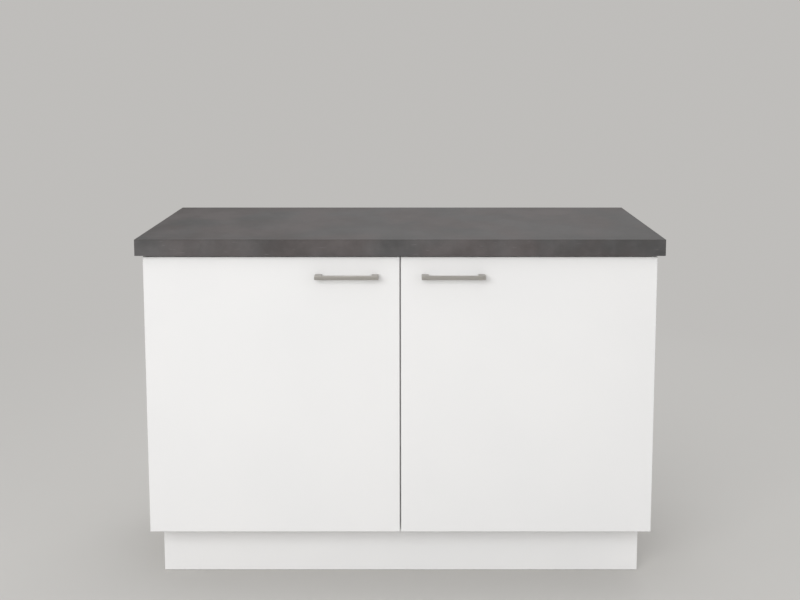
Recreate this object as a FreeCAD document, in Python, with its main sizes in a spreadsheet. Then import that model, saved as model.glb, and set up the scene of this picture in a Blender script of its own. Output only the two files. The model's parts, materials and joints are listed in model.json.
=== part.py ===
"""Kitchen island unit: a board carcass with two doors, a stone-look worktop and a recessed plinth.

Millimetres. X runs to the right, +Y from the doors to the back, +Z up. The origin lies on the
floor under the middle of the whole unit.
"""
import FreeCAD, Part
import math
import os

import Sketcher

V = FreeCAD.Vector
UP = V(0, 0, 1)

doc = FreeCAD.newDocument("KitchenIsland")

# ------------------------------------------------------------------ driving dimensions

DIMENSIONS = {
    # worktop
    "worktop_width": 1227,
    "worktop_depth": 600,
    "worktop_thickness": 38,
    "worktop_front_overhang": 17,       # past the door fronts
    "laminate": 0.8,
    "worktop_backing": 0.6,             # balancing sheet under the core
    "edge_band": 1.5,
    "laminate_edge": 0.4,               # bevel on the laminate's upper edge
    # carcass
    "carcass_width": 1200,
    "carcass_depth": 560,
    "carcass_height": 672,
    "board": 16,
    "front_band": 1,                    # edge band on the front of each carcass board and shelf
    "rail_depth": 100,
    # shelves
    "shelf_side_gap": 1,
    "shelf_setback": 20,
    "shelf_back_gap": 2,
    "shelf_hole": 7,                    # the row hole that the shelf pins use, from the lowest
    "shelf_pin_out": 8,                 # from the board's face to the pin's tip
    "shelf_pin_tip": 1,
    "shelf_pin_gap": 0.2,               # from a pin's inner end to the board's middle
    # rows of small holes in the sides and the partition
    "row_setback": 37,
    "row_back_inset": 96,
    "row_pitch": 32,
    "row_count": 12,
    "row_start": 96,                    # lowest hole above the base panel
    "row_hole": 5,
    "row_hole_deep": 11,
    # doors
    "door_thickness": 16,
    "door_gap": 2,                      # between the carcass front and the door
    "door_top_reveal": 5,
    "door_bottom_reveal": 1,
    "door_side_reveal": 1.5,
    "door_centre_gap": 3,
    "door_band": 1,
    "door_edge": 0.8,                   # bevel round the door's front, on its bands
    # handles
    "handle_length": 148,
    "handle_height": 10,
    "handle_bar": 8,                    # the bar's depth
    "handle_projection": 30,
    "handle_post": 16,                  # the post's width along the bar
    "handle_post_height": 9,
    "handle_drop": 45,                  # from the door's top to the bar's middle
    "handle_inset": 48.5,               # from the door's free edge to the bar's end
    "handle_facet": 3.6,                # the slope along the bar's lower front edge
    "handle_round": 1.2,
    "handle_screw": 4,
    "handle_screw_head": 8,
    "handle_screw_head_high": 2,
    "handle_screw_grip": 12,            # thread length inside the post
    # door bumpers
    "bumper": 8,
    "bumper_thick": 1.7,
    "bumper_edge": 0.7,
    "bumper_side_inset": 4.5,
    "bumper_end_inset": 14,
    # plinth
    "plinth_height": 130,
    "plinth_board": 16,
    "plinth_floor_gap": 1,
    "plinth_top_gap": 1,
    "plinth_setback": 62,               # from the carcass front
    "plinth_back_setback": 40,
    "plinth_side_inset": 17.5,
    # levelling legs
    "leg_inset": 35,                    # from the plinth board to the leg's middle
    "leg_flange": 60,
    "leg_flange_thick": 4,
    "leg_tube": 36,
    "leg_tube_length": 66,
    "leg_bore": 28,
    "leg_peg": 10,
    "leg_peg_length": 11,
    "leg_rib": 2.5,
    "leg_rib_height": 24,
    "leg_rib_count": 6,
    "foot_clearance": 0.3,
    "foot_disc": 54,
    "foot_disc_thick": 7,
    "foot_edge": 1,                     # bevel round the foot's underside
    "foot_slope": 3,                    # the slope round the foot's top
    "foot_slope_high": 2,
    "foot_grip": 9,                     # the round notches in the foot's rim
    "foot_grip_deep": 2.5,
    "foot_grip_count": 8,
    "foot_engagement": 40,              # stem inside the tube
    # clips that hold the plinth on the legs
    "clip_height": 16,
    "clip_wall": 3,
    "clip_pad_width": 44,
    "clip_pad_height": 34,
    "clip_neck": 12,
    "clip_level": 80,                   # middle of the clip above the floor
    "clip_clearance": 0.2,
    "clip_mouth": 27.3,                 # the ring's opening
    "clip_mouth_set": 5.5,              # from the leg's middle to the opening
    # joinery
    "cam": 15,
    "cam_length": 12,
    "cam_bolt": 6,
    "cam_bolt_thread": 5,
    "cam_setback": 24,                  # from the board's end to the cam's middle
    "cam_edge": 0.5,
    "cam_slot": 1.4,
    "cam_slot_deep": 1.5,
    "cam_mouth_clearance": 0.8,         # round the bolt's head
    "cam_bolt_head": 1.5,               # the head's height along the bolt
    "cam_bolt_neck": 3.5,               # the bolt's thin neck, from the shank to the head's end
    "cam_bolt_neck_width": 3.5,
    "cam_bolt_slope": 0.5,
    "dowel": 8,
    "dowel_length": 30,
    "dowel_tip": 1,
    "dowel_in_side": 9,
    "joint_front": 60,                  # from the carcass front to the first cam of the base
    "joint_back": 480,
    "dowel_offset": 32,                 # from a cam to the dowel beside it
    "fit": 0.1,                         # radial clearance of pegs, screws and dowels in wood
    "loose_fit": 0.2,                   # radial clearance of screws and bolts that pass through
    "bore_room": 0.5,                   # depth left past a screw, peg, cup or cam
    "dowel_room": 1,                    # depth left past a dowel or a worktop screw
    "screw_head_room": 0.5,             # radial, round a worktop screw's head
    "worktop_screw": 4,
    "worktop_screw_length": 30,
    "worktop_screw_head": 8,
    "worktop_screw_head_high": 2.4,
    "worktop_screw_inset": 250,         # from the middle screw to the outer ones
    # concealed hinges
    "hinge_end": 100,                   # from the door's ends to the hinges' middles
    "cup": 35,
    "cup_depth": 11.5,
    "cup_wall": 1.2,
    "cup_tab": 4.5,                     # door material left beside the cup
    "cup_flange": 1,
    "cup_rim": 1.5,                     # the flange round the bowl
    "cup_room": 0.2,                    # behind the bowl in the door
    "cup_flange_height": 62,
    "cup_flange_width": 19,
    "cup_screw_pitch": 45,
    "cup_screw_set": 9.5,               # from the cup's middle to the screws' line
    "cup_screw": 4,
    "cup_screw_length": 12,
    "cup_screw_head": 8,
    "cup_screw_head_high": 0.8,
    "arm_pivot_in": 35.04,              # from the side's outer face
    "arm_pivot_back": 12.99,            # behind the carcass front
    "cup_pivot_in": 12.02,
    "cup_pivot_front": 3.76,            # before the carcass front
    "pivot_pin": 3,
    "pivot_clearance": 0.05,
    "pivot_seat": 0.01,                 # radial clearance of a pin in the arm or cup
    "link_width": 9,
    "link_thick": 3.4,
    "link_eye": 5.6,
    "link_bend_in": 20,
    "link_bend_front": 7,
    "arm_width": 16,
    "arm_wall": 1.6,
    "arm_end": 84,                      # behind the carcass front
    "arm_crown": 38.5,                  # the arm's face, from the side's outer face
    "arm_nose": 6,                      # from the pivot to where the nose starts to widen
    "arm_channel_gap": 2,               # from the channel's front to the plate
    "plate_base": 3,
    "plate_ridge": 7,
    "plate_ridge_width": 12.6,
    "plate_front": 27,
    "plate_length": 50,
    "plate_wing": 20,
    "plate_height": 46,
    "plate_screw": 6,
    "plate_screw_length": 10.5,
    "plate_screw_head": 9,
    "plate_screw_head_high": 2,
    "adjuster": 5,
    "adjuster_head": 7.5,
    "adjuster_head_high": 1.2,
    "adjuster_pitch": 20,
    "cap_thick": 1.2,
    "cap_gap": 1,                       # from the rear adjuster's head to the cap
}

# The proportions of a screw's head, recess and tip.
HEAD_CROWN, RECESS_LONG, RECESS_WIDE, RECESS_DEEP, TIP = 0.7, 0.55, 0.12, 0.5, 0.3
# The share of a door bumper's height that has straight sides.
BUMPER_STRAIGHT = 0.6
# Cutting tools run this far past the faces that they open.
OVERRUN = 1

sheet = doc.addObject("Spreadsheet::Sheet", "Dims")
for row, (alias, number) in enumerate(DIMENSIONS.items(), start=1):
    sheet.set(f"A{row}", alias.replace("_", " "))
    sheet.set(f"B{row}", str(number))
    sheet.setAlias(f"B{row}", alias)

# Places that follow from the driving dimensions. Later rows may use earlier ones.
PLACES = {
    "front_reach": "Dims.door_gap + Dims.door_thickness"
                   " + max(Dims.handle_projection; Dims.worktop_front_overhang)",
    "worktop_reach": "Dims.door_gap + Dims.door_thickness + Dims.worktop_front_overhang",
    "rear_reach": "max(Dims.worktop_depth - worktop_reach; Dims.carcass_depth)",
    "carcass_front": "(front_reach - rear_reach) / 2",
    "worktop_front": "carcass_front - worktop_reach",
    "carcass_rear": "carcass_front + Dims.carcass_depth",
    "carcass_left": "-Dims.carcass_width / 2",
    "carcass_top": "Dims.plinth_height + Dims.carcass_height",
    "inner_left": "carcass_left + Dims.board",
    "inner_width": "Dims.carcass_width - 2 * Dims.board",
    "inner_depth": "Dims.carcass_depth - Dims.board",
    "inner_bottom": "Dims.plinth_height + Dims.board",
    "inner_height": "Dims.carcass_height - 2 * Dims.board",
    "bay_width": "(inner_width - Dims.board) / 2",
    "rail_bottom": "carcass_top - Dims.board",
    "rear_rail_front": "carcass_rear - Dims.board - Dims.rail_depth",
    "edging_height": "Dims.worktop_thickness - Dims.laminate",
    "core_bottom": "carcass_top + Dims.worktop_backing",
    "core_height": "edging_height - Dims.worktop_backing",
    "core_left": "-Dims.worktop_width / 2 + Dims.edge_band",
    "core_front": "worktop_front + Dims.edge_band",
    "core_width": "Dims.worktop_width - 2 * Dims.edge_band",
    "core_depth": "Dims.worktop_depth - 2 * Dims.edge_band",
    "base_joint_level": "Dims.plinth_height + Dims.board / 2",
    "rail_joint_level": "carcass_top - Dims.board / 2",
    "base_cam_front": "carcass_front + Dims.joint_front",
    "base_cam_back": "carcass_front + Dims.joint_back",
    "base_dowel_front": "base_cam_front + Dims.dowel_offset",
    "base_dowel_back": "base_cam_back - Dims.dowel_offset",
    "front_rail_middle": "carcass_front + Dims.rail_depth / 2",
    "front_rail_dowel_front": "front_rail_middle - Dims.dowel_offset",
    "front_rail_dowel_back": "front_rail_middle + Dims.dowel_offset",
    "rear_rail_middle": "rear_rail_front + Dims.rail_depth / 2",
    "rear_rail_dowel_front": "rear_rail_middle - Dims.dowel_offset",
    "rear_rail_dowel_back": "rear_rail_middle + Dims.dowel_offset",
    "back_middle": "carcass_rear - Dims.board / 2",
    "back_dowel_low": "Dims.plinth_height + Dims.joint_front",
    "back_dowel_high": "carcass_top - Dims.joint_front",
    "shelf_front": "carcass_front + Dims.shelf_setback",
    "shelf_width": "bay_width - 2 * Dims.shelf_side_gap",
    "shelf_depth": "inner_depth - Dims.shelf_setback - Dims.shelf_back_gap",
    "shelf_pin_level": "inner_bottom + Dims.row_start + (Dims.shelf_hole - 1) * Dims.row_pitch",
    "shelf_bottom": "shelf_pin_level + Dims.row_hole / 2",
    "row_front_middle": "carcass_front + Dims.row_setback",
    "row_back_middle": "carcass_rear - Dims.board - Dims.row_back_inset",
    "row_lowest": "inner_bottom + Dims.row_start",
    "door_width": "(Dims.carcass_width - 2 * Dims.door_side_reveal - Dims.door_centre_gap) / 2",
    "door_height": "Dims.carcass_height - Dims.door_top_reveal - Dims.door_bottom_reveal",
    "door_bottom": "Dims.plinth_height + Dims.door_bottom_reveal",
    "door_top": "door_bottom + door_height",
    "door_back": "carcass_front - Dims.door_gap",
    "door_front": "door_back - Dims.door_thickness",
    "door_left": "carcass_left + Dims.door_side_reveal",
    "handle_level": "door_top - Dims.handle_drop",
    "handle_far": "door_width - Dims.handle_inset - Dims.handle_length + Dims.handle_post / 2",
    "handle_near": "door_width - Dims.handle_inset - Dims.handle_post / 2",
    "plinth_board_height": "Dims.plinth_height - Dims.plinth_floor_gap - Dims.plinth_top_gap",
    "plinth_left": "carcass_left + Dims.plinth_side_inset",
    "plinth_width": "Dims.carcass_width - 2 * Dims.plinth_side_inset",
    "plinth_front": "carcass_front + Dims.plinth_setback",
    "plinth_rear": "carcass_rear - Dims.plinth_back_setback",
    "leg_side": "-plinth_left - Dims.plinth_board - Dims.leg_inset",
    "leg_front": "plinth_front + Dims.plinth_board + Dims.leg_inset",
    "leg_back": "plinth_rear - Dims.plinth_board - Dims.leg_inset",
    "tube_bottom": "Dims.plinth_height - Dims.leg_tube_length",
    "stem_height": "tube_bottom + Dims.foot_engagement",
    "stem_radius": "Dims.leg_bore / 2 - Dims.foot_clearance",
    "hinge_low": "door_bottom + Dims.hinge_end",
    "hinge_high": "door_top - Dims.hinge_end",
    "cup_in": "Dims.door_side_reveal + Dims.cup_tab + Dims.cup / 2",
    "plate_face": "Dims.board + Dims.plate_base",
    "cup_screw_in": "cup_in + Dims.cup_screw_set",
    "rear_adjuster": "Dims.row_setback + Dims.adjuster_pitch",
}

places = doc.addObject("Spreadsheet::Sheet", "Places")
for row, (alias, formula) in enumerate(PLACES.items(), start=1):
    places.set(f"A{row}", alias.replace("_", " "))
    places.set(f"B{row}", "=" + formula)
    places.setAlias(f"B{row}", alias)
doc.recompute()


def dim(alias):
    """A driving dimension as a number."""
    return float(sheet.get(alias))


def place(alias):
    """A derived place as a number."""
    return float(places.get(alias))


# ------------------------------------------------------------------ sketches and features


def origin_feature(body, role):
    """One of a body's own origin planes or axes, such as XY_Plane or Z_Axis."""
    return next(f for f in body.Origin.OriginFeatures if f.Role == role)


def new_body(label, at=("0", "0", "0")):
    """An empty body whose origin is bound to three expressions."""
    body = doc.addObject("PartDesign::Body", label)
    body.Label = label
    for axis, expression in zip("xyz", at):
        body.setExpression(f"Placement.Base.{axis}", expression)
    return body


def new_sketch(body, role, level="0"):
    """An empty sketch on an origin plane, or level millimetres along that plane's normal."""
    sketch = body.newObject("Sketcher::SketchObject", body.Label + "_sketch")
    sketch.AttachmentSupport = (origin_feature(body, role + "_Plane"), [""])
    sketch.MapMode = "FlatFace"
    sketch.setExpression("AttachmentOffset.Base.z", level)
    return sketch


def bind_point(sketch, geometry, point, name, x, y):
    """Ties a sketch point to two expressions, both counted from the sketch's origin."""
    for axis, expression in (("X", x), ("Y", y)):
        constraint = Sketcher.Constraint("Distance" + axis, -1, 1, geometry, point, 1.0)
        index = sketch.addConstraint(constraint)
        sketch.renameConstraint(index, name + axis)
        sketch.setExpression(f"Constraints.{name}{axis}", expression)


# Outlines and circles are first drawn at rough sizes, which their constraints then replace.
ROUGH_OUTLINE, ROUGH_STEP, ROUGH_CIRCLE = 50, 20, 4


def outline_sketch(body, role, points, level="0"):
    """A closed outline through corners given as pairs of expressions."""
    sketch = new_sketch(body, role, level)
    count = len(points)
    start = [V(math.cos(math.tau * i / count), math.sin(math.tau * i / count), 0) * ROUGH_OUTLINE
             for i in range(count)]
    for i in range(count):
        sketch.addGeometry(Part.LineSegment(start[i], start[(i + 1) % count]), False)
    for i in range(count):
        sketch.addConstraint(Sketcher.Constraint("Coincident", i, 2, (i + 1) % count, 1))
    for i, (x, y) in enumerate(points):
        bind_point(sketch, i, 1, f"corner{i}", x, y)
    return sketch


def rectangle_sketch(body, role, right, top, left="0", bottom="0"):
    """A rectangle between two corners, the lower of them at the sketch's origin if not given."""
    return outline_sketch(body, role, [(left, bottom), (right, bottom), (right, top), (left, top)])


def circle_sketch(body, role, centres, diameter, level="0"):
    """Circles of one diameter, each at a pair of expressions."""
    sketch = new_sketch(body, role, level)
    for i, (x, y) in enumerate(centres):
        rough = Part.Circle(V(ROUGH_STEP * (i + 1), ROUGH_STEP, 0), UP, ROUGH_CIRCLE / 2)
        circle = sketch.addGeometry(rough, False)
        index = sketch.addConstraint(Sketcher.Constraint("Diameter", circle, ROUGH_CIRCLE))
        sketch.renameConstraint(index, f"diameter{i}")
        sketch.setExpression(f"Constraints.diameter{i}", diameter)
        bind_point(sketch, circle, 3, f"centre{i}", x, y)
    return sketch


def pad(body, sketch, length, reverse=False, symmetric=False):
    """Adds the sketch's outline, length thick."""
    feature = body.newObject("PartDesign::Pad", body.Label + "_pad")
    feature.Profile = sketch
    feature.setExpression("Length", length)
    feature.Reversed = reverse
    feature.SideType = "Symmetric" if symmetric else "One side"
    return feature


def pocket(body, sketch, length, reverse=False, symmetric=False):
    """Cuts the sketch's outline, length deep. Fails if it takes nothing away."""
    doc.recompute()
    before = body.Shape.Volume
    feature = body.newObject("PartDesign::Pocket", body.Label + "_pocket")
    feature.Profile = sketch
    feature.setExpression("Length", length)
    feature.Reversed = reverse
    feature.SideType = "Symmetric" if symmetric else "One side"
    doc.recompute()
    if not body.Shape.Volume < before - 1e-6:
        raise RuntimeError(f"{feature.Name} on {body.Label} cuts nothing")
    return feature


def row_pattern(body, feature, sketch, count, length):
    """Repeats a feature up the sketch's vertical axis."""
    pattern = body.newObject("PartDesign::LinearPattern", body.Label + "_row")
    pattern.Originals = [feature]
    pattern.Direction = (sketch, ["V_Axis"])
    pattern.setExpression("Length", length)
    pattern.setExpression("Occurrences", count)
    body.Tip = pattern
    doc.recompute()
    return pattern


def ring_pattern(body, feature, count):
    """Repeats a feature evenly round the body's own Z axis."""
    pattern = body.newObject("PartDesign::PolarPattern", body.Label + "_ring")
    pattern.Originals = [feature]
    pattern.Axis = (origin_feature(body, "Z_Axis"), [""])
    pattern.Angle = 360
    pattern.setExpression("Occurrences", count)
    body.Tip = pattern
    doc.recompute()
    return pattern


def turned_body(label, at, points):
    """A body turned about its own Z axis from (radius, height) pairs of expressions."""
    body = new_body(label, at)
    sketch = outline_sketch(body, "XZ", points)
    turned = body.newObject("PartDesign::Revolution", label + "_turned")
    turned.Profile = sketch
    turned.ReferenceAxis = (sketch, ["V_Axis"])
    turned.Angle = 360
    return body


def bevel(body, edges, size, kind="Chamfer"):
    """Chamfers or fillets the chosen edges of the body's last feature."""
    doc.recompute()
    base = body.Tip
    names = [f"Edge{i}" for i, edge in enumerate(base.Shape.Edges, start=1) if edges(edge)]
    feature = body.newObject("PartDesign::" + kind, body.Label + "_edges")
    feature.Base = (base, names)
    feature.setExpression("Size" if kind == "Chamfer" else "Radius", size)
    return feature


def at_level(axis, level):
    """Chooses the edges that lie whole at one level along X, Y or Z of the body."""
    low, high = axis + "Min", axis + "Max"

    def chosen(edge):
        box = edge.BoundBox
        return abs(getattr(box, low) - level) < 1e-4 and abs(getattr(box, high) - level) < 1e-4

    return chosen


def strips(label, boxes):
    """One node of plain strips, from (width, depth, height, x, y, z) rows of expressions."""
    links = []
    for index, sizes in enumerate(boxes):
        box = doc.addObject("Part::Box", f"{label}_{index}")
        fields = ("Length", "Width", "Height", "Placement.Base.x", "Placement.Base.y",
                  "Placement.Base.z")
        for field, expression in zip(fields, sizes):
            box.setExpression(field, expression)
        links.append(box)
    compound = doc.addObject("Part::Compound", label)
    compound.Links = links
    return compound


# ------------------------------------------------------------------ groups of small pieces


def turned_solid(points):
    """A solid turned about Z from (radius, height) pairs of numbers."""
    corners = [V(radius, 0, height) for radius, height in points]
    return Part.Face(Part.makePolygon(corners + corners[:1])).revolve(V(), UP, 360)


def screw_solid(diameter, length, head, head_high):
    """A screw along +Z with its head below Z = 0, a tapered tip and a cross recess."""
    radius = diameter / 2
    body = turned_solid([
        (0, -head_high), (head / 2 * HEAD_CROWN, -head_high), (head / 2, -head_high / 2),
        (head / 2, 0), (radius, 0), (radius, length - radius), (radius * TIP, length),
        (0, length),
    ])
    slot_long, slot_wide, slot_deep = head * RECESS_LONG, head * RECESS_WIDE, head_high * RECESS_DEEP
    for long_x, long_y in ((slot_long, slot_wide), (slot_wide, slot_long)):
        slot = Part.makeBox(long_x, long_y, slot_deep, V(-long_x / 2, -long_y / 2, -head_high))
        body = body.cut(slot)
    return body


def placed(solid, position, direction=UP):
    """A copy with its origin at the position and its Z along the direction."""
    copy = solid.copy()
    copy.Placement = FreeCAD.Placement(position, FreeCAD.Rotation(UP, direction))
    return copy


def mirrored(solid):
    """The same piece on the other side of the unit's middle plane."""
    return solid.mirror(V(), V(1, 0, 0))


def group(label, solids):
    """One node that holds separate identical solids."""
    feature = doc.addObject("Part::Feature", label)
    feature.Label = label
    feature.Shape = Part.makeCompound(solids)
    return feature


sub_parts = []


def keep(*pieces):
    """Lists finished pieces for writing."""
    sub_parts.extend(pieces)


# ------------------------------------------------------------------ worktop

CORE_AT = ("Places.core_left", "Places.core_front", "Places.core_bottom")
core = new_body("worktop_core", CORE_AT)
pad(core, rectangle_sketch(core, "XY", "Places.core_width", "Places.core_depth"),
    "Places.core_height")

SCREW_OFFSETS = ("-Dims.worktop_screw_inset", "0", "Dims.worktop_screw_inset")
RAIL_MIDDLES = ("Places.front_rail_middle", "Places.rear_rail_middle")
SCREWS_FROM_CORE = [(f"{offset} - Places.core_left", f"{middle} - Places.core_front")
                    for offset in SCREW_OFFSETS for middle in RAIL_MIDDLES]
SCREW_HOLE = "Dims.worktop_screw + 2 * Dims.fit"
pocket(core, circle_sketch(core, "XY", SCREWS_FROM_CORE, SCREW_HOLE),
       "Dims.worktop_screw_length - Dims.board - Dims.worktop_backing + Dims.dowel_room",
       reverse=True)

backing = new_body("worktop_backing", (*CORE_AT[:2], "Places.carcass_top"))
pad(backing, rectangle_sketch(backing, "XY", "Places.core_width", "Places.core_depth"),
    "Dims.worktop_backing")
pocket(backing, circle_sketch(backing, "XY", SCREWS_FROM_CORE, SCREW_HOLE), "Dims.worktop_backing",
       reverse=True)

laminate = new_body("worktop_laminate", ("-Dims.worktop_width / 2", "Places.worktop_front",
                                         "Places.carcass_top + Places.edging_height"))
pad(laminate, rectangle_sketch(laminate, "XY", "Dims.worktop_width", "Dims.worktop_depth"),
    "Dims.laminate")
bevel(laminate, at_level("Z", dim("laminate")), "Dims.laminate_edge")

ACROSS = ("Dims.worktop_width", "Dims.edge_band", "Places.edging_height", "-Dims.worktop_width / 2")
ALONG = ("Dims.edge_band", "Places.core_depth", "Places.edging_height")
edges = strips("worktop_edges", [
    (*ACROSS, "Places.worktop_front", "Places.carcass_top"),
    (*ACROSS, "Places.core_front + Places.core_depth", "Places.carcass_top"),
    (*ALONG, "-Dims.worktop_width / 2", "Places.core_front", "Places.carcass_top"),
    (*ALONG, "Places.core_left + Places.core_width", "Places.core_front", "Places.carcass_top"),
])
keep(core, backing, laminate, edges)

# ------------------------------------------------------------------ carcass boards

# Joints between each side and the boards that end on it: named places along Y and Z.
CAM_ROWS = [("base_cam_front", "base_joint_level"), ("base_cam_back", "base_joint_level"),
            ("front_rail_middle", "rail_joint_level"), ("rear_rail_middle", "rail_joint_level")]
DOWEL_ROWS = [("base_dowel_front", "base_joint_level"), ("base_dowel_back", "base_joint_level"),
              ("front_rail_dowel_front", "rail_joint_level"),
              ("front_rail_dowel_back", "rail_joint_level"),
              ("rear_rail_dowel_front", "rail_joint_level"),
              ("rear_rail_dowel_back", "rail_joint_level"),
              ("back_middle", "back_dowel_low"), ("back_middle", "back_dowel_high")]
PIN_ROWS = [("row_front_middle", "row_lowest"), ("row_back_middle", "row_lowest")]
DOWEL_HOLE = "Dims.dowel + 2 * Dims.fit"
DOWEL_IN_END = "Dims.dowel_length - Dims.dowel_in_side + Dims.dowel_room"
ROW_HOLE = "Dims.row_hole + 2 * Dims.fit"
ROW_LENGTH = "(Dims.row_count - 1) * Dims.row_pitch"


def from_corner(rows, front="Places.carcass_front", bottom="Dims.plinth_height"):
    """Named places as expressions counted from a board's own front and bottom."""
    return [(f"Places.{y} - {front}", f"Places.{z} - {bottom}") for y, z in rows]


# Screw holes of the hinge plates.
PLATE_SCREW_HALF = "Dims.row_pitch / 2"
HINGE_LEVELS = ("Places.hinge_low", "Places.hinge_high")
PLATE_SPOTS = [("Dims.row_setback", f"{level} - Dims.plinth_height {sign} {PLATE_SCREW_HALF}")
               for level in HINGE_LEVELS for sign in "-+"]


def side_panel(label, x, inner_face, reverse):
    """A side board, drilled on its inner face. Its front band is a strip of its own."""
    body = new_body(label, (x, "Places.carcass_front", "Dims.plinth_height"))
    board = rectangle_sketch(body, "YZ", "Dims.carcass_depth", "Dims.carcass_height",
                             left="Dims.front_band")
    pad(body, board, "Dims.board")
    bolts = circle_sketch(body, "YZ", from_corner(CAM_ROWS), "Dims.cam_bolt_thread + 2 * Dims.fit",
                          inner_face)
    pocket(body, bolts, "Dims.row_hole_deep", reverse)
    dowels = circle_sketch(body, "YZ", from_corner(DOWEL_ROWS), DOWEL_HOLE, inner_face)
    pocket(body, dowels, "Dims.dowel_in_side", reverse)
    plates = circle_sketch(body, "YZ", PLATE_SPOTS, "Dims.plate_screw + 2 * Dims.fit", inner_face)
    pocket(body, plates, "Dims.plate_screw_length + Dims.bore_room", reverse)
    holes = circle_sketch(body, "YZ", from_corner(PIN_ROWS), ROW_HOLE, inner_face)
    first = pocket(body, holes, "Dims.row_hole_deep", reverse)
    row_pattern(body, first, holes, "Dims.row_count", ROW_LENGTH)
    return body


side_left = side_panel("side_panel_left", "Places.carcass_left", "Dims.board", False)
side_right = side_panel("side_panel_right", "-Places.carcass_left - Dims.board", "0", True)


def end_joints(body, board_front, cams, dowels):
    """Cam bores under a flat board, and the bolt and dowel bores in both its ends.

    cams and dowels name places along Y; board_front is where the board's own Y starts.
    """
    cam_backs = [f"Places.{name} - {board_front}" for name in cams]
    dowel_backs = [f"Places.{name} - {board_front}" for name in dowels]
    cam_spots = [(x, back) for back in cam_backs
                 for x in ("Dims.cam_setback", "Places.inner_width - Dims.cam_setback")]
    pocket(body, circle_sketch(body, "XY", cam_spots, "Dims.cam + 2 * Dims.fit"),
           "Dims.cam_length + Dims.bore_room", reverse=True)
    for level, reverse in (("0", True), ("Places.inner_width", False)):
        bolts = circle_sketch(body, "YZ", [(back, "Dims.board / 2") for back in cam_backs],
                              "Dims.cam_bolt + 2 * Dims.loose_fit", level)
        pocket(body, bolts, "Dims.cam_setback", reverse)
        dowel_bores = circle_sketch(body, "YZ", [(back, "Dims.board / 2") for back in dowel_backs],
                                    DOWEL_HOLE, level)
        pocket(body, dowel_bores, DOWEL_IN_END, reverse)


base = new_body("base_panel", ("Places.inner_left", "Places.carcass_front", "Dims.plinth_height"))
pad(base, rectangle_sketch(base, "XY", "Places.inner_width", "Places.inner_depth",
                           bottom="Dims.front_band"), "Dims.board")
BASE_DOWELS = ("base_dowel_front", "base_dowel_back")
end_joints(base, "Places.carcass_front", ("base_cam_front", "base_cam_back"), BASE_DOWELS)
LEG_COLUMNS = ("-Places.leg_side", "0", "Places.leg_side")
LEG_ROWS = ("Places.leg_front", "Places.leg_back")
pegs = circle_sketch(
    base, "XY", [(f"{x} - Places.inner_left", f"{y} - Places.carcass_front")
                 for x in LEG_COLUMNS for y in LEG_ROWS],
    "Dims.leg_peg + 2 * Dims.fit")
pocket(base, pegs, "Dims.leg_peg_length + Dims.bore_room", reverse=True)
BASE_DOWEL_BACKS = [f"Places.{name} - Places.carcass_front" for name in BASE_DOWELS]
partition_holes = circle_sketch(base, "XY", [("-Places.inner_left", y) for y in BASE_DOWEL_BACKS],
                                DOWEL_HOLE, "Dims.board")
pocket(base, partition_holes, "Dims.dowel_in_side")


def top_rail(label, name, board_front, band):
    """A flat rail between the sides. name says which rail the joints' places belong to."""
    body = new_body(label, ("Places.inner_left", board_front, "Places.rail_bottom"))
    pad(body, rectangle_sketch(body, "XY", "Places.inner_width", "Dims.rail_depth", bottom=band),
        "Dims.board")
    end_joints(body, board_front, (name + "_middle",), (name + "_dowel_front", name + "_dowel_back"))
    spots = [(f"{offset} - Places.inner_left", f"Places.{name}_middle - {board_front}")
             for offset in SCREW_OFFSETS]
    pocket(body, circle_sketch(body, "XY", spots, "Dims.worktop_screw + 2 * Dims.loose_fit"),
           "Dims.board", reverse=True)
    return body


front_rail = top_rail("front_top_rail", "front_rail", "Places.carcass_front", "Dims.front_band")
rear_rail = top_rail("rear_top_rail", "rear_rail", "Places.rear_rail_front", "0")

back = new_body("back_panel", ("Places.inner_left", "Places.carcass_rear", "Dims.plinth_height"))
pad(back, rectangle_sketch(back, "XZ", "Places.inner_width", "Dims.carcass_height"), "Dims.board")
BACK_SPOTS = [("-Dims.board / 2", f"Places.{name} - Dims.plinth_height")
              for name in ("back_dowel_low", "back_dowel_high")]
for end_level, end_reverse in (("0", True), ("Places.inner_width", False)):
    pocket(back, circle_sketch(back, "YZ", BACK_SPOTS, DOWEL_HOLE, end_level), DOWEL_IN_END,
           end_reverse)

# The partition stands on the base and ends under the rails, with a notch for each worktop screw.
partition = new_body("centre_partition", ("-Dims.board / 2", "Places.carcass_front",
                                          "Places.inner_bottom"))
pad(partition, rectangle_sketch(partition, "YZ", "Places.inner_depth", "Places.inner_height",
                                left="Dims.front_band"), "Dims.board")
ends = circle_sketch(partition, "XY", [("Dims.board / 2", y) for y in BASE_DOWEL_BACKS], DOWEL_HOLE)
pocket(partition, ends, DOWEL_IN_END, reverse=True)
screw_notch = circle_sketch(partition, "XY", [("Dims.board / 2", f"{middle} - Places.carcass_front")
                                              for middle in RAIL_MIDDLES],
                            "Dims.worktop_screw_head + 2 * Dims.screw_head_room",
                            "Places.inner_height")
pocket(partition, screw_notch, "Dims.worktop_screw_head_high + Dims.dowel_room")
row_holes = circle_sketch(partition, "YZ", from_corner(PIN_ROWS, bottom="Places.inner_bottom"),
                          ROW_HOLE)
row_first = pocket(partition, row_holes, "Dims.board", reverse=True)
row_pattern(partition, row_first, row_holes, "Dims.row_count", ROW_LENGTH)

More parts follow.
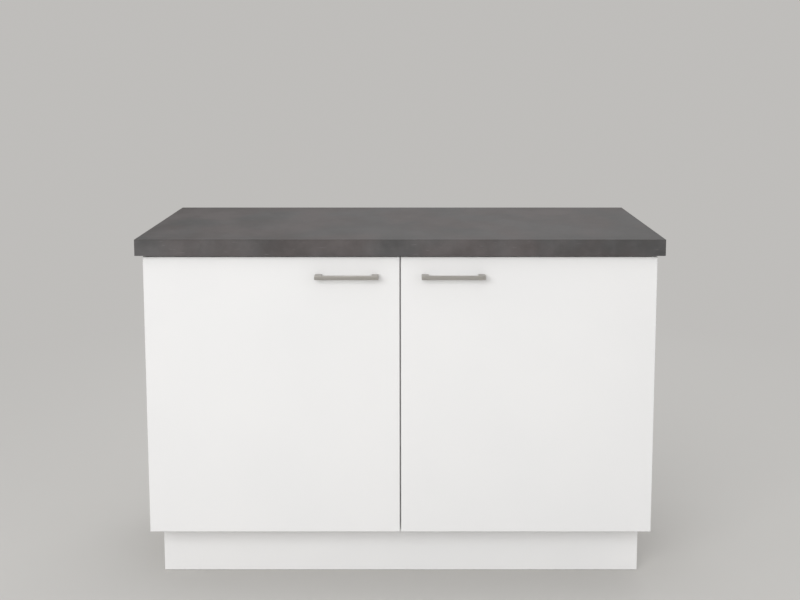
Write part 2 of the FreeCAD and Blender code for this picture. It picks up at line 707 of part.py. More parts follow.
# White bands on the front edges of the boards.
UPRIGHT = ("Dims.board", "Dims.front_band")
LYING = ("Places.inner_width", "Dims.front_band", "Dims.board", "Places.inner_left",
         "Places.carcass_front")
front_bands = strips("front_edge_bands", [
    (*UPRIGHT, "Dims.carcass_height", "Places.carcass_left", "Places.carcass_front",
     "Dims.plinth_height"),
    (*UPRIGHT, "Dims.carcass_height", "-Places.inner_left", "Places.carcass_front",
     "Dims.plinth_height"),
    (*UPRIGHT, "Places.inner_height", "-Dims.board / 2", "Places.carcass_front",
     "Places.inner_bottom"),
    (*LYING, "Dims.plinth_height"),
    (*LYING, "Places.rail_bottom"),
])
keep(side_left, side_right, base, front_rail, rear_rail, back, partition, front_bands)

# ------------------------------------------------------------------ shelves and their pins


SHELF_LEFTS = ("Places.inner_left + Dims.shelf_side_gap", "Dims.board / 2 + Dims.shelf_side_gap")


def shelf(label, x):
    """A loose shelf that rests on four pins, without its front band."""
    body = new_body(label, (x, "Places.shelf_front", "Places.shelf_bottom"))
    pad(body, rectangle_sketch(body, "XY", "Places.shelf_width", "Places.shelf_depth",
                               bottom="Dims.front_band"), "Dims.board")
    return body


keep(shelf("shelf_left", SHELF_LEFTS[0]), shelf("shelf_right", SHELF_LEFTS[1]),
     strips("shelf_edge_bands", [("Places.shelf_width", "Dims.front_band", "Dims.board", x,
                                  "Places.shelf_front", "Places.shelf_bottom")
                                 for x in SHELF_LEFTS]))

half_board = dim("board") / 2
pin_radius, pin_tip = dim("row_hole") / 2, dim("shelf_pin_tip")
pin_inside, pin_outside = half_board - dim("shelf_pin_gap"), dim("shelf_pin_out")
pin_solid = turned_solid([
    (0, -pin_inside), (pin_radius, -pin_inside), (pin_radius, pin_outside - pin_tip),
    (pin_radius - pin_tip, pin_outside), (0, pin_outside),
])
pin_faces = [(place("inner_left"), V(1, 0, 0)), (-half_board, V(-1, 0, 0)),
             (half_board, V(1, 0, 0)), (-place("inner_left"), V(-1, 0, 0))]
keep(group("shelf_pins", [placed(pin_solid, V(x, place(row), place("shelf_pin_level")), out)
                          for x, out in pin_faces for row, _ in PIN_ROWS]))

# ------------------------------------------------------------------ cams, bolts and dowels

# The two inner faces of the sides, each with the direction into the unit.
END_FACES = ((place("inner_left"), 1), (-place("inner_left"), -1))

cam_radius, cam_length, cam_edge = dim("cam") / 2, dim("cam_length"), dim("cam_edge")
bolt_radius, thread_radius = dim("cam_bolt") / 2, dim("cam_bolt_thread") / 2
cam_solid = turned_solid([(0, 0), (cam_radius - cam_edge, 0), (cam_radius, cam_edge),
                          (cam_radius, cam_length), (0, cam_length)])
cam_slot = Part.makeBox(cam_radius, dim("cam_slot"), dim("cam_slot_deep"),
                        V(-cam_radius / 2, -dim("cam_slot") / 2, 0))
cam_mouth = Part.makeCylinder(bolt_radius + dim("cam_mouth_clearance"), 2 * (cam_radius + OVERRUN),
                              V(-cam_radius - OVERRUN, 0, half_board), V(1, 0, 0))
cam_solid = cam_solid.cut(cam_slot).cut(cam_mouth)

# The bolt: thread in the side, shank, thin neck and the head that the cam grips.
cam_set, slope = dim("cam_setback"), dim("cam_bolt_slope")
thread_in = dim("row_hole_deep") - dim("bore_room")
neck_radius = dim("cam_bolt_neck_width") / 2
head_end = cam_set - dim("bore_room")
head_start = head_end - dim("cam_bolt_head")
shank_end = head_start - dim("cam_bolt_neck")
bolt_solid = turned_solid([
    (0, -thread_in), (thread_radius, -thread_in), (thread_radius, 0), (bolt_radius, 0),
    (bolt_radius, shank_end), (neck_radius, shank_end + slope), (neck_radius, head_start - slope),
    (bolt_radius, head_start), (bolt_radius, head_end), (0, head_end),
])
cams, bolts = [], []
for row, level in CAM_ROWS:
    for face, inward in END_FACES:
        cams.append(placed(cam_solid, V(face + inward * cam_set, place(row), place(level) - half_board)))
        bolts.append(placed(bolt_solid, V(face, place(row), place(level)), V(inward, 0, 0)))
keep(group("cam_locks", cams), group("cam_bolts", bolts))

dowel_radius, dowel_length, dowel_tip = dim("dowel") / 2, dim("dowel_length"), dim("dowel_tip")
dowel_solid = turned_solid([
    (0, 0), (dowel_radius - dowel_tip, 0), (dowel_radius, dowel_tip),
    (dowel_radius, dowel_length - dowel_tip), (dowel_radius - dowel_tip, dowel_length),
    (0, dowel_length),
])
dowel_start = dim("dowel_in_side")
dowels = [placed(dowel_solid, V(face - inward * dowel_start, place(row), place(level)),
                 V(inward, 0, 0))
          for row, level in DOWEL_ROWS for face, inward in END_FACES]
dowels += [placed(dowel_solid, V(0, place(row), place("inner_bottom") - dowel_start))
           for row in BASE_DOWELS]
keep(group("dowels", dowels))

worktop_screw = screw_solid(dim("worktop_screw"), dim("worktop_screw_length"),
                            dim("worktop_screw_head"), dim("worktop_screw_head_high"))
keep(group("worktop_screws", [placed(worktop_screw, V(x, place(row), place("rail_bottom")))
                              for x in (-dim("worktop_screw_inset"), 0, dim("worktop_screw_inset"))
                              for row in ("front_rail_middle", "rear_rail_middle")]))

# ------------------------------------------------------------------ plinth


def plinth_board(label, role, x, y, length):
    """An upright plinth board. Front and back boards run along X, side boards along Y."""
    body = new_body(label, (x, y, "Dims.plinth_floor_gap"))
    pad(body, rectangle_sketch(body, role, length, "Places.plinth_board_height"), "Dims.plinth_board")
    return body


SIDE_BOARD_LENGTH = "Places.plinth_rear - Places.plinth_front - 2 * Dims.plinth_board"
SIDE_BOARD_FRONT = "Places.plinth_front + Dims.plinth_board"
keep(plinth_board("plinth_front", "XZ", "Places.plinth_left", SIDE_BOARD_FRONT, "Places.plinth_width"),
     plinth_board("plinth_back", "XZ", "Places.plinth_left", "Places.plinth_rear",
                  "Places.plinth_width"),
     plinth_board("plinth_left", "YZ", "Places.plinth_left", SIDE_BOARD_FRONT, SIDE_BOARD_LENGTH),
     plinth_board("plinth_right", "YZ", "-Places.plinth_left - Dims.plinth_board", SIDE_BOARD_FRONT,
                  SIDE_BOARD_LENGTH))

# ------------------------------------------------------------------ levelling legs

# The socket hangs under the base, its peg in the board. Its own origin is at the underside.
socket = turned_body("leg_socket_pattern", ("0", "0", "0"), [
    ("0", "Dims.leg_peg_length"),
    ("0", "-Dims.leg_flange_thick"),
    ("Dims.leg_bore / 2", "-Dims.leg_flange_thick"),
    ("Dims.leg_bore / 2", "-Dims.leg_tube_length"),
    ("Dims.leg_tube / 2", "-Dims.leg_tube_length"),
    ("Dims.leg_tube / 2", "-Dims.leg_flange_thick"),
    ("Dims.leg_flange / 2", "-Dims.leg_flange_thick"),
    ("Dims.leg_flange / 2", "0"),
    ("Dims.leg_peg / 2", "0"),
    ("Dims.leg_peg / 2", "Dims.leg_peg_length"),
])
# Ribs between the tube and the flange. Their inner ends lie in the middle of the tube's wall.
RIB_IN = "(Dims.leg_tube + Dims.leg_bore) / 4"
rib_sketch = outline_sketch(socket, "XZ", [
    (RIB_IN, "-Dims.leg_flange_thick"),
    (RIB_IN, "-Dims.leg_flange_thick - Dims.leg_rib_height"),
    ("Dims.leg_tube / 2", "-Dims.leg_flange_thick - Dims.leg_rib_height"),
    ("Dims.leg_flange / 2", "-Dims.leg_flange_thick"),
])
ring_pattern(socket, pad(socket, rib_sketch, "Dims.leg_rib", symmetric=True), "Dims.leg_rib_count")
leg_xs = (-place("leg_side"), 0, place("leg_side"))
leg_ys = (place("leg_front"), place("leg_back"))
keep(group("leg_sockets", [placed(socket.Shape, V(x, y, dim("plinth_height")))
                           for y in leg_ys for x in leg_xs]))


def foot(label, x, y):
    """A notched foot disc with a stem that turns in the socket to set the height."""
    body = turned_body(label, (x, y, "0"), [
        ("0", "0"),
        ("Dims.foot_disc / 2 - Dims.foot_edge", "0"),
        ("Dims.foot_disc / 2", "Dims.foot_edge"),
        ("Dims.foot_disc / 2", "Dims.foot_disc_thick - Dims.foot_slope_high"),
        ("Dims.foot_disc / 2 - Dims.foot_slope", "Dims.foot_disc_thick"),
        ("Places.stem_radius", "Dims.foot_disc_thick"),
        ("Places.stem_radius", "Places.stem_height"),
        ("0", "Places.stem_height"),
    ])
    notch_at = "Dims.foot_disc / 2 - Dims.foot_grip_deep + Dims.foot_grip / 2"
    notch = pocket(body, circle_sketch(body, "XY", [(notch_at, "0")], "Dims.foot_grip"),
                   "Dims.foot_disc_thick", reverse=True)
    ring_pattern(body, notch, "Dims.foot_grip_count")
    return body


for row_name, row_y in zip(("front", "back"), LEG_ROWS):
    for column_name, column_x in zip(("left", "centre", "right"), LEG_COLUMNS):
        keep(foot(f"foot_{row_name}_{column_name}", column_x, row_y))

# A clip snaps round a leg's tube and its pad carries the plinth board.
clip_ring = dim("leg_tube") / 2 + dim("clip_clearance")
clip_outer = clip_ring + dim("clip_wall")
clip_reach, clip_height = dim("leg_inset"), dim("clip_height")
clip_solid = Part.makeCylinder(clip_outer, clip_height)
clip_solid = clip_solid.fuse(Part.makeBox(
    dim("clip_neck"), clip_reach - clip_ring, clip_height, V(-dim("clip_neck") / 2, -clip_reach, 0)))
clip_solid = clip_solid.fuse(Part.makeBox(
    dim("clip_pad_width"), dim("clip_wall"), dim("clip_pad_height"),
    V(-dim("clip_pad_width") / 2, -clip_reach, (clip_height - dim("clip_pad_height")) / 2)))
clip_solid = clip_solid.cut(Part.makeCylinder(clip_ring, clip_height + 2 * OVERRUN, V(0, 0, -OVERRUN)))
clip_solid = clip_solid.cut(Part.makeBox(
    dim("clip_mouth"), clip_outer, clip_height + 2 * OVERRUN,
    V(-dim("clip_mouth") / 2, dim("clip_mouth_set"), -OVERRUN)))
clip_solid = clip_solid.removeSplitter()
clip_bottom = dim("clip_level") - clip_height / 2


def clip_at(x, y, turn):
    """A clip on the leg at x, y, turned about Z."""
    copy = clip_solid.copy()
    copy.Placement = FreeCAD.Placement(V(x, y, clip_bottom), FreeCAD.Rotation(UP, turn))
    return copy


keep(group("plinth_clips", [clip_at(x, leg_ys[0], 0) for x in leg_xs]
           + [clip_at(x, leg_ys[1], 180) for x in leg_xs]))

# ------------------------------------------------------------------ hinge patterns

# Each pattern is drawn at the left side's lower hinge. Its X counts from the side's outer face,
# its Y from the carcass front and its Z from the hinge's middle.
HINGE_ORIGIN = ("Places.carcass_left", "Places.carcass_front", "Places.hinge_low")
CUP_PIVOT = ("Dims.cup_pivot_in", "-Dims.cup_pivot_front")
ARM_PIVOT = ("Dims.arm_pivot_in", "Dims.arm_pivot_back")


def hinge_body(label):
    """An empty hinge pattern at the lower left hinge."""
    return new_body(label, HINGE_ORIGIN)


def add_disc(body, centre, diameter, length):
    """Adds a disc about Z, spread evenly about the hinge's middle."""
    pad(body, circle_sketch(body, "XY", [centre], diameter), length, symmetric=True)


def cut_disc(body, centre, diameter, length):
    """Cuts a disc about Z, spread evenly about the hinge's middle."""
    pocket(body, circle_sketch(body, "XY", [centre], diameter), length, symmetric=True)


# The mounting plate: a flat base with two wings on the side panel and a ridge under the arm.
plate = hinge_body("hinge_plate_pattern")
WING_FRONT = "Dims.row_setback - Dims.plate_wing / 2"
WING_BACK = "Dims.row_setback + Dims.plate_wing / 2"
PLATE_FACE = "Places.plate_face"
pad(plate, outline_sketch(plate, "XY", [("Dims.board", WING_FRONT), (PLATE_FACE, WING_FRONT),
                                        (PLATE_FACE, WING_BACK), ("Dims.board", WING_BACK)]),
    "Dims.plate_height", symmetric=True)
PLATE_BACK = "Dims.plate_front + Dims.plate_length"
RIDGE_FACE = "Dims.board + Dims.plate_ridge"
pad(plate, outline_sketch(plate, "XY", [("Dims.board", "Dims.plate_front"),
                                        (RIDGE_FACE, "Dims.plate_front"),
                                        (RIDGE_FACE, PLATE_BACK), ("Dims.board", PLATE_BACK)]),
    "Dims.plate_ridge_width", symmetric=True)
for wing_side in ("-", ""):
    wing_hole = circle_sketch(plate, "YZ", [("Dims.row_setback", wing_side + PLATE_SCREW_HALF)],
                              "Dims.plate_screw + 2 * Dims.fit", "Dims.board")
    pocket(plate, wing_hole, "Dims.plate_base + Dims.bore_room", reverse=True)

# The arm: a channel over the plate's ridge with a nose that holds the pivot pin.
arm = hinge_body("hinge_arm_pattern")
NOSE_RADIUS = "(Dims.arm_crown - Dims.arm_pivot_in)"
arm_outline = outline_sketch(arm, "XY", [
    ("Dims.arm_crown", "Dims.arm_pivot_back"),
    ("Dims.arm_crown", "Dims.arm_end"),
    (PLATE_FACE, "Dims.arm_end"),
    (PLATE_FACE, "Dims.plate_front"),
    (f"Dims.arm_pivot_in - {NOSE_RADIUS}", "Dims.arm_pivot_back + Dims.arm_nose"),
    (f"Dims.arm_pivot_in - {NOSE_RADIUS}", "Dims.arm_pivot_back"),
])
pad(arm, arm_outline, "Dims.arm_width", symmetric=True)
add_disc(arm, ARM_PIVOT, f"2 * {NOSE_RADIUS}", "Dims.arm_width")
# The channel is open towards the plate, and the nose is open for the link.
ARM_INSIDE = "Dims.arm_width - 2 * Dims.arm_wall"
CHANNEL_FACE = "Dims.arm_crown - Dims.arm_wall"
CHANNEL_FRONT = "Dims.plate_front - Dims.arm_channel_gap"
channel = outline_sketch(arm, "XY", [
    (CHANNEL_FACE, CHANNEL_FRONT), (CHANNEL_FACE, "Dims.arm_end + Dims.bore_room"),
    ("Dims.board", "Dims.arm_end + Dims.bore_room"), ("Dims.board", CHANNEL_FRONT),
])
pocket(arm, channel, ARM_INSIDE, symmetric=True)
nose_gap = outline_sketch(arm, "XY", [
    ("Dims.arm_crown + Dims.bore_room", "0"), ("Dims.arm_crown + Dims.bore_room", CHANNEL_FRONT),
    ("Dims.board", CHANNEL_FRONT), ("Dims.board", "0"),
])
pocket(arm, nose_gap, ARM_INSIDE, symmetric=True)
PIN_SEAT = "Dims.pivot_pin + 2 * Dims.pivot_seat"
cut_disc(arm, ARM_PIVOT, PIN_SEAT, "Dims.arm_width")
for spot in ("Dims.row_setback", "Places.rear_adjuster"):
    adjuster_hole = circle_sketch(arm, "YZ", [(spot, "0")], "Dims.adjuster + 2 * Dims.fit",
                                  "Dims.arm_crown")
    pocket(arm, adjuster_hole, "Dims.arm_wall")

# The cup: a thin bowl let into the door, with a flange on the door's back.
cup = hinge_body("hinge_cup_pattern")
CUP_MIDDLE = [("Places.cup_in", "0")]
pad(cup, circle_sketch(cup, "XZ", CUP_MIDDLE, "Dims.cup", "Dims.door_gap"), "Dims.cup_depth")
FLANGE_IN = "Places.cup_screw_in"
flange = outline_sketch(cup, "XZ", [
    (f"{FLANGE_IN} - Dims.cup_flange_width / 2", "-Dims.cup_flange_height / 2"),
    (f"{FLANGE_IN} + Dims.cup_flange_width / 2", "-Dims.cup_flange_height / 2"),
    (f"{FLANGE_IN} + Dims.cup_flange_width / 2", "Dims.cup_flange_height / 2"),
    (f"{FLANGE_IN} - Dims.cup_flange_width / 2", "Dims.cup_flange_height / 2"),
], "Dims.door_gap")
pad(cup, flange, "Dims.cup_flange", reverse=True)
rim = circle_sketch(cup, "XZ", CUP_MIDDLE, "Dims.cup + 2 * Dims.cup_rim", "Dims.door_gap")
pad(cup, rim, "Dims.cup_flange", reverse=True)
hollow = circle_sketch(cup, "XZ", CUP_MIDDLE, "Dims.cup - 2 * Dims.cup_wall",
                       "Dims.door_gap - Dims.cup_flange")
pocket(cup, hollow, "Dims.cup_depth + Dims.cup_flange - Dims.cup_wall", reverse=True)
cut_disc(cup, CUP_PIVOT, PIN_SEAT, "Dims.cup")
for screw_side in ("-", ""):
    flange_hole = circle_sketch(cup, "XZ", [(FLANGE_IN, f"{screw_side}Dims.cup_screw_pitch / 2")],
                                "Dims.cup_screw + 2 * Dims.fit", "Dims.door_gap")
    pocket(cup, flange_hole, "Dims.cup_flange")

doc.recompute()

hinge_spot = V(place("carcass_left"), place("carcass_front"), place("hinge_low"))
hinge_rise = V(0, 0, place("hinge_high") - place("hinge_low"))
arm_pivot = V(dim("arm_pivot_in"), dim("arm_pivot_back"), 0)
cup_pivot = V(dim("cup_pivot_in"), -dim("cup_pivot_front"), 0)
link_bend = V(dim("link_bend_in"), -dim("link_bend_front"), 0)


def upper_and_lower(solid):
    """A piece at both hinges of the left door."""
    return [solid.copy(), solid.translated(hinge_rise)]


def disc(centre, diameter, length):
    """A disc about Z, spread evenly about the hinge's middle."""
    return Part.makeCylinder(diameter / 2, length, centre - V(0, 0, length / 2))


def web(first, second, thick, width):
    """A straight web between two points."""
    run = second - first
    side = V(-run.y, run.x, 0).normalize() * (thick / 2)
    corners = [first + side, second + side, second - side, first - side]
    face = Part.Face(Part.makePolygon(corners + corners[:1]))
    return face.translated(V(0, 0, -width / 2)).extrude(V(0, 0, width))


# The link: an eye round each pin and a web that bends round the side panel's front corner.
link_width, link_thick = dim("link_width"), dim("link_thick")
link = disc(arm_pivot, dim("link_eye"), link_width)
link = link.fuse([disc(cup_pivot, dim("link_eye"), link_width),
                  disc(link_bend, link_thick, link_width),
                  web(arm_pivot, link_bend, link_thick, link_width),
                  web(link_bend, cup_pivot, link_thick, link_width)])
link_bore = dim("pivot_pin") + 2 * dim("pivot_clearance")
for pivot in (arm_pivot, cup_pivot):
    link = link.cut(disc(pivot, link_bore, link_width))
link = link.removeSplitter()
link.translate(hinge_spot)

arm_pin = disc(arm_pivot, dim("pivot_pin"), dim("arm_width")).translated(hinge_spot)
# The cup's pin ends inside the bowl's wall on both sides.
pin_far_side = place("cup_in") - dim("cup_pivot_in") + dim("pivot_pin") / 2
cup_pin_length = 2 * math.sqrt((dim("cup") / 2) ** 2 - pin_far_side ** 2)
cup_pin = disc(cup_pivot, dim("pivot_pin"), cup_pin_length).translated(hinge_spot)

plate_screw = screw_solid(dim("plate_screw"), dim("plate_screw_length") + dim("plate_base"),
                          dim("plate_screw_head"), dim("plate_screw_head_high"))
plate_screws = [placed(plate_screw, hinge_spot + V(place("plate_face"), dim("row_setback"), z),
                       V(-1, 0, 0))
                for z in (-dim("row_pitch") / 2, dim("row_pitch") / 2)]
adjuster_length = dim("arm_crown") - dim("board") - dim("plate_ridge")
adjuster = screw_solid(dim("adjuster"), adjuster_length, dim("adjuster_head"),
                       dim("adjuster_head_high"))
adjusters = [placed(adjuster, hinge_spot + V(dim("arm_crown"), y, 0), V(-1, 0, 0))
             for y in (dim("row_setback"), place("rear_adjuster"))]
cap_front = place("rear_adjuster") + dim("adjuster_head") / 2 + dim("cap_gap")
cap = Part.makeBox(dim("cap_thick"), dim("arm_end") - cap_front, dim("arm_width"),
                   hinge_spot + V(dim("arm_crown"), cap_front, -dim("arm_width") / 2))
cup_screw = screw_solid(dim("cup_screw"), dim("cup_screw_length"), dim("cup_screw_head"),
                        dim("cup_screw_head_high"))
cup_screws = [placed(cup_screw, hinge_spot + V(place("cup_screw_in"),
                                               dim("cup_flange") - dim("door_gap"), z), V(0, -1, 0))
              for z in (-dim("cup_screw_pitch") / 2, dim("cup_screw_pitch") / 2)]


def all_hinges(*solids):
    """Pieces of the lower left hinge at all four hinges."""
    left = [copy for solid in solids for copy in upper_and_lower(solid)]
    return left + [mirrored(solid) for solid in left]


keep(group("hinge_plates", all_hinges(plate.Shape)),
     group("hinge_plate_screws", all_hinges(*plate_screws)),
     group("hinge_arms", all_hinges(arm.Shape)),
     group("hinge_arm_pins", all_hinges(arm_pin)),
     group("hinge_adjusters", all_hinges(*adjusters)),
     group("hinge_caps", all_hinges(cap)))

# ------------------------------------------------------------------ doors and what they carry

CUP_FROM_EDGE = "Dims.cup_tab + Dims.cup / 2"
SCREWS_FROM_EDGE = f"{CUP_FROM_EDGE} + Dims.cup_screw_set"
HANDLE_HEIGHT = "Places.door_height - Dims.handle_drop"
HINGE_HEIGHTS = ("Dims.hinge_end", "Places.door_height - Dims.hinge_end")


def door(label, x, from_hinge_edge):
    """A slab door inside its bands, with bores for its cups and handle. Its Y = 0 is its back.

    from_hinge_edge turns a distance from the hinge edge into the body's own X.
    """
    body = new_body(label, (x, "Places.door_back", "Places.door_bottom"))
    slab = rectangle_sketch(body, "XZ", "Places.door_width - Dims.door_band",
                            "Places.door_height - Dims.door_band", "Dims.door_band", "Dims.door_band")
    pad(body, slab, "Dims.door_thickness")
    cups = [(from_hinge_edge(CUP_FROM_EDGE), z) for z in HINGE_HEIGHTS]
    pocket(body, circle_sketch(body, "XZ", cups, "Dims.cup + 2 * Dims.fit"),
           "Dims.cup_depth + Dims.cup_room", reverse=True)
    screws = [(from_hinge_edge(SCREWS_FROM_EDGE), f"{z} {sign} Dims.cup_screw_pitch / 2")
              for z in HINGE_HEIGHTS for sign in "-+"]
    pocket(body, circle_sketch(body, "XZ", screws, "Dims.cup_screw + 2 * Dims.fit"),
           "Dims.cup_screw_length - Dims.cup_flange + Dims.bore_room", reverse=True)
    handle = [(from_hinge_edge(spot), HANDLE_HEIGHT)
              for spot in ("Places.handle_far", "Places.handle_near")]
    pocket(body, circle_sketch(body, "XZ", handle, "Dims.handle_screw + 2 * Dims.loose_fit"),
           "Dims.door_thickness", reverse=True)
    return body


def door_bands(label, x):
    """Four edge bands round a door. The upright ones run its whole height; all are bevelled."""
    band, right, top = "Dims.door_band", "Places.door_width", "Places.door_height"
    wide, high = place("door_width"), place("door_height")
    ends = (("Z", 0), ("Z", high))
    rows = [("west", (band, top, "0", "0"), (("X", 0), *ends)),
            ("east", (right, top, f"{right} - {band}", "0"), (("X", wide), *ends)),
            ("low", (f"{right} - {band}", band, band, "0"), (("Z", 0),)),
            ("high", (f"{right} - {band}", top, band, f"{top} - {band}"), (("Z", high),))]
    links = []
    for name, corners, outer in rows:
        body = new_body(f"{label}_{name}", (x, "Places.door_back", "Places.door_bottom"))
        pad(body, rectangle_sketch(body, "XZ", *corners), "Dims.door_thickness")
        on_front = at_level("Y", -dim("door_thickness"))
        on_outside = [at_level(axis, level) for axis, level in outer]
        bevel(body, lambda edge: on_front(edge) and any(test(edge) for test in on_outside),
              "Dims.door_edge")
        links.append(body)
    compound = doc.addObject("Part::Compound", label)
    compound.Links = links
    return compound


def handle_bar(label, x):
    """The grip, from its left end. Its Y = 0 is its front, which slopes back at the foot."""
    body = new_body(label, (x, "Places.door_front - Dims.handle_projection",
                            "Places.handle_level - Dims.handle_height / 2"))
    section = outline_sketch(body, "YZ", [("0", "Dims.handle_facet"), ("Dims.handle_facet", "0"),
                                          ("Dims.handle_bar", "0"),
                                          ("Dims.handle_bar", "Dims.handle_height"),
                                          ("0", "Dims.handle_height")])
    pad(body, section, "Dims.handle_length")
    bevel(body, lambda edge: True, "Dims.handle_round", "Fillet")
    return body


def handle_posts(label, x):
    """Two posts between the door and the grip, each with a blind screw hole."""
    body = new_body(label, (x, "Places.door_front",
                            "Places.handle_level - Dims.handle_post_height / 2"))
    block = rectangle_sketch(body, "XZ", "Dims.handle_post", "Dims.handle_post_height")
    first = pad(body, block, "Dims.handle_projection - Dims.handle_bar")
    hole = circle_sketch(body, "XZ", [("Dims.handle_post / 2", "Dims.handle_post_height / 2")],
                         "Dims.handle_screw + 2 * Dims.fit")
    cut = pocket(body, hole, "Dims.handle_screw_grip + Dims.bore_room", reverse=True)
    pattern = body.newObject("PartDesign::LinearPattern", label + "_pair")
    pattern.Originals = [first, cut]
    pattern.Direction = (block, ["H_Axis"])
    pattern.setExpression("Length", "Dims.handle_length - Dims.handle_post")
    pattern.Occurrences = 2
    body.Tip = pattern
    return body


def from_left(distance):
    """A distance from the door's left edge, for the left door's hinge edge."""
    return distance


def from_right(distance):
    """A distance from the door's right edge, for the right door's hinge edge."""
    return f"Places.door_width - ({distance})"


HANDLE_LEFT = "-Dims.door_centre_gap / 2 - Dims.handle_inset - Dims.handle_length"
HANDLE_RIGHT = "Dims.door_centre_gap / 2 + Dims.handle_inset"
keep(door("door_left", "Places.door_left", from_left),
     door("door_right", "Dims.door_centre_gap / 2", from_right),
     door_bands("door_bands_left", "Places.door_left"),
     door_bands("door_bands_right", "Dims.door_centre_gap / 2"),
     handle_bar("handle_bar_left", HANDLE_LEFT), handle_bar("handle_bar_right", HANDLE_RIGHT),
     handle_posts("handle_posts_left", HANDLE_LEFT),
     handle_posts("handle_posts_right", HANDLE_RIGHT))

handle_screw = screw_solid(dim("handle_screw"), dim("door_thickness") + dim("handle_screw_grip"),
                           dim("handle_screw_head"), dim("handle_screw_head_high"))
handle_screws = [placed(handle_screw, V(place("door_left") + x, place("door_back"),
                                        place("handle_level")), V(0, -1, 0))
                 for x in (place("handle_far"), place("handle_near"))]
bumper_radius, bumper_thick = dim("bumper") / 2, dim("bumper_thick")
bumper = turned_solid([(0, 0), (bumper_radius, 0), (bumper_radius, bumper_thick * BUMPER_STRAIGHT),
                       (bumper_radius - dim("bumper_edge"), bumper_thick), (0, bumper_thick)])
bumper_x = -dim("door_centre_gap") / 2 - dim("bumper_side_inset")
bumper_levels = (place("door_bottom") + dim("bumper_end_inset"),
                 place("door_top") - dim("bumper_end_inset"))
bumpers = [placed(bumper, V(bumper_x, place("door_back"), z), V(0, 1, 0)) for z in bumper_levels]
door_pieces = {
    "hinge_links": upper_and_lower(link),
    "hinge_cups": upper_and_lower(cup.Shape),
    "hinge_cup_pins": upper_and_lower(cup_pin),
    "hinge_cup_screws": [copy for solid in cup_screws for copy in upper_and_lower(solid)],
    "handle_screws": handle_screws,
    "door_bumpers": bumpers,
}
for name, solids in door_pieces.items():
    keep(group(name + "_left", solids), group(name + "_right", [mirrored(s) for s in solids]))

# ------------------------------------------------------------------ checks and files

doc.recompute()
for thing in doc.Objects:
    if any(state in ("Invalid", "Error") for state in thing.State):
        raise RuntimeError(f"{thing.Label} failed: {thing.State}")
for piece in sub_parts:
    if piece.Shape.isNull() or not piece.Shape.isValid() or not piece.Shape.Solids:
        raise RuntimeError(f"{piece.Label} has no sound solid")

os.makedirs("parts", exist_ok=True)
for piece in sub_parts:
    piece.Shape.exportStep(f"parts/{piece.Label}.step")
print(f"{len(sub_parts)} sub-parts written")
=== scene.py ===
"""Looks of the kitchen island unit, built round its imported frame. Metres, in the frame's own axes."""
import json
import math

import bmesh
import bpy
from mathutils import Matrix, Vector


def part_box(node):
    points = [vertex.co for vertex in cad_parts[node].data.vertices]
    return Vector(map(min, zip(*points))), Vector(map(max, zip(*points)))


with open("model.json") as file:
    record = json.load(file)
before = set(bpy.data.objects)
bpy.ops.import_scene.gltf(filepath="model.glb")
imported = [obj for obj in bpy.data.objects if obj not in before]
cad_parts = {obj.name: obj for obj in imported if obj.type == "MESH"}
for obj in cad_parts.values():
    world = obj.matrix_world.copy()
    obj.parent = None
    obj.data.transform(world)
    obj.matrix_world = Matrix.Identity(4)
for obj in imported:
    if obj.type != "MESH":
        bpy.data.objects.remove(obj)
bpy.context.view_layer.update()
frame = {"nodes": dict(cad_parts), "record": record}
MM = 0.001

# ---------------------------------------------------------------- node helpers

MIX_FIRST, MIX_SECOND, MIX_RESULT = 6, 7, 2     # a Mix node's colour sockets


